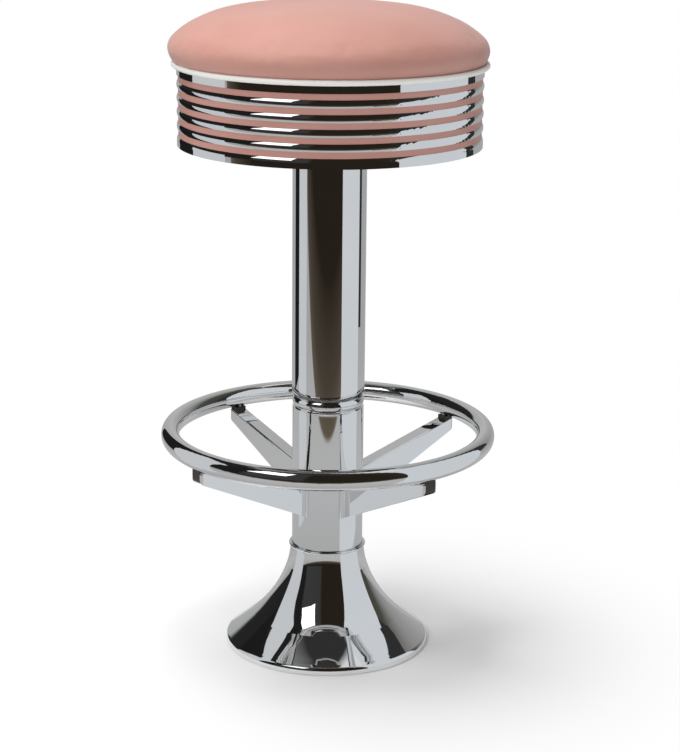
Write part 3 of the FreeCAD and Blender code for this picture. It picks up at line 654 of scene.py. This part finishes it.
# Lamps: place, width and height, power and the point that each one faces
key_place = (-0.75, 0.2, 2.9)
key_size = (2.0, 2.0)
key_power = 74.0
key_aim = (0, 0, 0.7)
front_place = (-1.0, -1.9, 1.6)
front_size = (0.9, 0.9)
front_power = 11.0
front_aim = (0, 0, 0.6)


def ray_is(graph, *kinds):
    path = graph.nodes.new("ShaderNodeLightPath")
    total = path.outputs[kinds[0]]
    for kind in kinds[1:]:
        total = compute(graph, "MAXIMUM", total, path.outputs[kind])
    return total


def mirrored_floor(graph, distance):
    """The floor in the chrome, as glowing tones in place of its lighting: painted light and shade on the
    white sweep round the stool, and painted light on the dim boards before it.
    """
    y = split_axes(graph, object_place(graph))["Y"]
    before_edge = spread(graph, y, sweep_edge - sweep_blur, sweep_edge + sweep_blur, 1.0, 0.0)
    # Painted light on the boards in the chrome: dim brown far off, painted lighter toward the sweep's edge
    board_light_stops = [(0.0, room_brown), (0.75, darker(room_lit_near, 0.55)), (1.0, room_lit_near)]
    board = ramp(graph, spread(graph, y, boards_far, sweep_edge), board_light_stops)
    # Painted light and shade of the white paper in the chrome: grey, darker beside the stool and far off,
    # brightest some 0.6 m out
    sweep_light_stops = [(0.0, grey(0.40)), (0.3, grey(0.50)), (1.0, grey(0.40))]
    sweep = ramp(graph, spread(graph, distance, sweep_near, sweep_far), sweep_light_stops)
    return mix(graph, before_edge, sweep, board)


def floor_paper():
    """White paper that takes the stool's shadow and fades into the white surround, and in the chrome into a
    glow of painted light.
    """
    material = bpy.data.materials.new("floor")
    graph = tree(material)
    paint = add(graph, "ShaderNodeBsdfDiffuse", Color=(*grey(floor_white), 1.0))
    reach = graph.nodes.new("ShaderNodeVectorMath")
    reach.operation = "LENGTH"
    graph.links.new(object_place(graph), reach.inputs[0])
    distance = reach.outputs["Value"]
    seen = ray_is(graph, "Is Glossy Ray")
    # Past a short reach, glossy rays see this glow of painted light instead of the lit paint
    colour = mix(graph, seen, grey(1.0), mirrored_floor(graph, distance))
    glow = add(graph, "ShaderNodeEmission", Strength=1.0)
    graph.links.new(colour, glow.inputs["Color"])
    fade = spread(graph, distance, fade_near, fade_far, smooth=True)
    mirror_fade = spread(graph, distance, mirror_fade_near, mirror_fade_far, smooth=True)
    share = compute(graph, "MAXIMUM", fade, compute(graph, "MULTIPLY", seen, mirror_fade))
    blend = graph.nodes.new("ShaderNodeMixShader")
    graph.links.new(share, blend.inputs[0])
    graph.links.new(paint.outputs[0], blend.inputs[1])
    graph.links.new(glow.outputs[0], blend.inputs[2])
    output = graph.nodes.new("ShaderNodeOutputMaterial")
    graph.links.new(blend.outputs[0], output.inputs["Surface"])
    return material


def add_floor():
    shape = bmesh.new()
    bmesh.ops.create_circle(shape, cap_ends=True, segments=floor_sides, radius=floor_r)
    floor = piece_from("floor", shape)
    floor.matrix_world = studio @ Matrix.Translation((0, 0, -floor_drop))
    floor.data.materials.append(floor_paper())


def glowing(name, colour, strength):
    material = bpy.data.materials.new(name)
    graph = tree(material)
    glow = add(graph, "ShaderNodeEmission", Color=(*colour, 1.0), Strength=strength)
    output = graph.nodes.new("ShaderNodeOutputMaterial")
    graph.links.new(glow.outputs[0], output.inputs["Surface"])
    return material


def add_card(name, start, end, foot, top, colour, strength=1.0, top_end=None):
    """An upright card between two points in plan, mirrored by the chrome but not lighting the set."""
    mesh = bpy.data.meshes.new(name)
    corners = [(*start, foot), (*end, foot), (*end, top_end or top), (*start, top)]
    mesh.from_pydata(corners, [], [(0, 1, 2, 3)])
    card = bpy.data.objects.new(name, mesh)
    card.matrix_world = studio
    scene.collection.objects.link(card)
    mesh.materials.append(glowing(name, colour, strength))
    card.visible_camera = False
    card.visible_diffuse = False
    card.visible_shadow = False
    card.visible_transmission = False
    card.visible_volume_scatter = False


def add_cards():
    light = (0.60, 0.62, 0.64)
    lighter = (0.64, 0.67, 0.70)
    add_card("card_left_light", left_joint, left_front, 0.0, 0.68, light)
    add_card("card_left_dark", left_back, left_joint, 0.23, 0.70, grey(0.012))
    add_card("card_right_light", right_front, right_joint, 0.0, 0.70, lighter, top_end=0.95)
    add_card("card_right_dark", right_joint, right_back, 0.30, 0.85, grey(0.03))
    add_card("softbox", softbox_left, softbox_right, 1.00, 2.10, grey(1.0), strength=1.7)


def by_degrees(tones):
    """Ramp stops from pairs of degrees and tone, over one full turn."""
    return [((angle + 180.0) / 360.0, tone) for angle, tone in tones]


def add_world():
    """A white surround to the eye, a soft fill for the light, and a dim room in the chrome."""
    world = bpy.data.worlds.new("studio")
    scene.world = world
    graph = tree(world)
    place = graph.nodes.new("ShaderNodeTexCoord")
    turn = add(graph, "ShaderNodeMapping", Rotation=(0.0, 0.0, -studio_turn))
    graph.links.new(place.outputs["Generated"], turn.inputs["Vector"])
    x, y, z = split_axes(graph, turn.outputs["Vector"])
    heading = compute(graph, "ARCTAN2", x, compute(graph, "MULTIPLY", y, -1.0))
    azimuth = spread(graph, heading, -math.pi, math.pi)
    walls = ramp(graph, azimuth, by_degrees(wall_tones))
    roof = ramp(graph, azimuth, by_degrees(roof_tones))
    overhead = spread(graph, z, roof_low, roof_high, smooth=True)
    mirrored = mix(graph, overhead, walls, roof)
    seen = ray_is(graph, "Is Glossy Ray")
    plain = ray_is(graph, "Is Camera Ray", "Is Transmission Ray")
    soft = mix(graph, plain, grey(surround_fill), grey(surround_white))
    background = add(graph, "ShaderNodeBackground", Strength=1.0)
    graph.links.new(mix(graph, seen, soft, mirrored), background.inputs["Color"])
    output = graph.nodes.new("ShaderNodeOutputWorld")
    graph.links.new(background.outputs[0], output.inputs["Surface"])


def add_lamp(name, place, size, power, aim):
    """A soft rectangular lamp that the chrome doesn't mirror: the cards stand for it there."""
    data = bpy.data.lights.new(name, "AREA")
    data.shape = "RECTANGLE"
    data.size, data.size_y = size
    data.energy = power
    lamp = bpy.data.objects.new(name, data)
    place = Vector(place)
    facing = (place - Vector(aim)).to_track_quat("Z", "Y").to_matrix().to_4x4()
    lamp.matrix_world = studio @ Matrix.Translation(place) @ facing
    lamp.visible_glossy = False
    scene.collection.objects.link(lamp)


add_floor()
add_cards()
add_world()
add_lamp("key_lamp", key_place, key_size, key_power, key_aim)
add_lamp("front_lamp", front_place, front_size, front_power, front_aim)

scene.view_settings.view_transform = "Standard"
